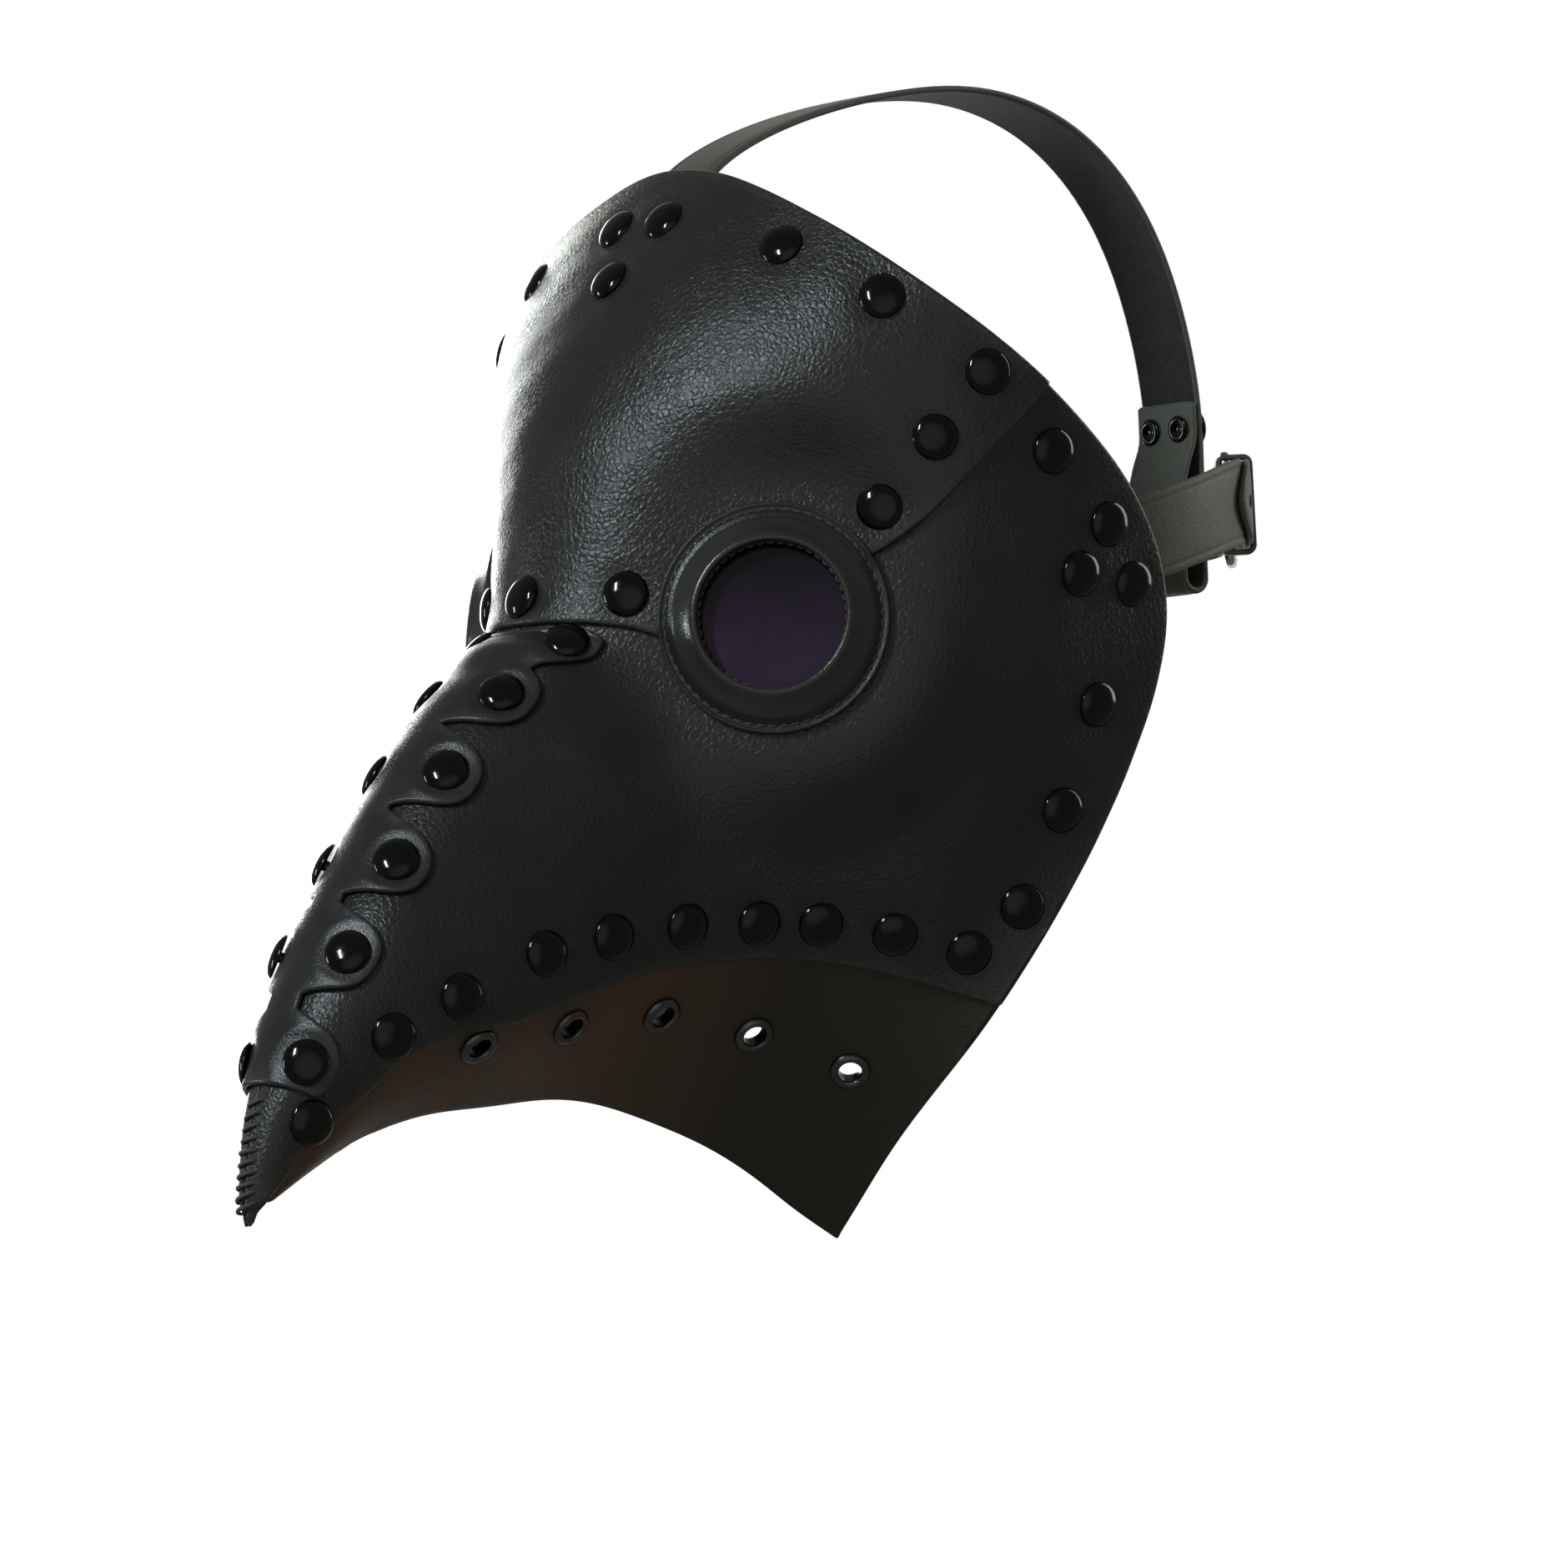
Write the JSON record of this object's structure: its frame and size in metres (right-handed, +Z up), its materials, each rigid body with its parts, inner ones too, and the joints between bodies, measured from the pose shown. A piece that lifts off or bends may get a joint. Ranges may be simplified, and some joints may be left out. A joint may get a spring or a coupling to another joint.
{
  "type": "plague doctor mask",
  "caption": "Leather plague doctor mask: long riveted beak, round stitched eye rings with dark lenses, breather eyelets and a buckled head harness.",
  "frame": {"origin": "middle of the wearer's head at eye level, which is the mount head", "axes": "+Z up, the beak points along -Y, +X is the wearer's left"},
  "size_m": [0.1956, 0.3249, 0.2977],
  "materials": {
    "black_leather": "black coated leather with a fine pebble grain, satin sheen",
    "chin_leather": "softer brownish black leather, low sheen",
    "strap_leather": "black coated strap leather with sealed edges",
    "black_enamel": "gloss black enamelled rivet cap",
    "rim_gloss": "gloss black moulded rim",
    "dark_lens": "dark purple tinted lens",
    "black_thread": "waxed black thread",
    "dark_nickel": "black nickel plated eyelet",
    "steel": "bright nickel plated wire"
  },
  "bodies": {
    "mask": {"forehead_panel": "black_leather", "side_panel_left": "black_leather", "side_panel_right": "black_leather", "chin_panel": "chin_leather", "ridge_strip": "black_leather", "tip_stitching": "black_thread", "eye_flange_left": "black_leather", "eye_flange_right": "black_leather", "eye_rim_left": "rim_gloss", "eye_rim_right": "rim_gloss", "lens_left": "dark_lens", "lens_right": "dark_lens", "lens_retainer_left": "rim_gloss", "lens_retainer_right": "rim_gloss", "ring_stitching_left": "black_thread", "ring_stitching_right": "black_thread", "top_edge_rivets": "black_enamel", "top_strap_rivets": "black_enamel", "bridge_rivets": "black_enamel", "seam_rivets_left": "black_enamel", "seam_rivets_right": "black_enamel", "cheek_rivets_left": "black_enamel", "cheek_rivets_right": "black_enamel", "strap_rivets_left": "black_enamel", "strap_rivets_right": "black_enamel", "jaw_rivets_left": "black_enamel", "jaw_rivets_right": "black_enamel", "ridge_rivets_left": "black_enamel", "ridge_rivets_right": "black_enamel", "eyelets_left": "dark_nickel", "eyelets_right": "dark_nickel", "top_strap": "strap_leather", "loop_rivets": "black_enamel", "side_strap_left": "strap_leather", "side_strap_right": "strap_leather"},
    "frame": {"buckle_frame": "steel"},
    "prong": {"buckle_prong": "steel"},
    "keeper": {"strap_keeper": "strap_leather"}
  },
  "joints": [
    {"name": "buckle_hinge", "type": "hinge", "parent": "mask", "child": "frame", "pos_m": [0.053, 0.0745, 0.028], "axis": [0, 0, -1], "range_deg": [0, 12]},
    {"name": "prong_hinge", "type": "hinge", "parent": "frame", "child": "prong", "pos_m": [0.053, 0.0745, 0.028], "axis": [0, 0, -1], "range_deg": [0, 12]},
    {"name": "keeper_slide", "type": "slide", "parent": "mask", "child": "keeper", "axis": [0.8, -0.6, 0], "range_m": [-0.002, 0.002]}
  ]
}
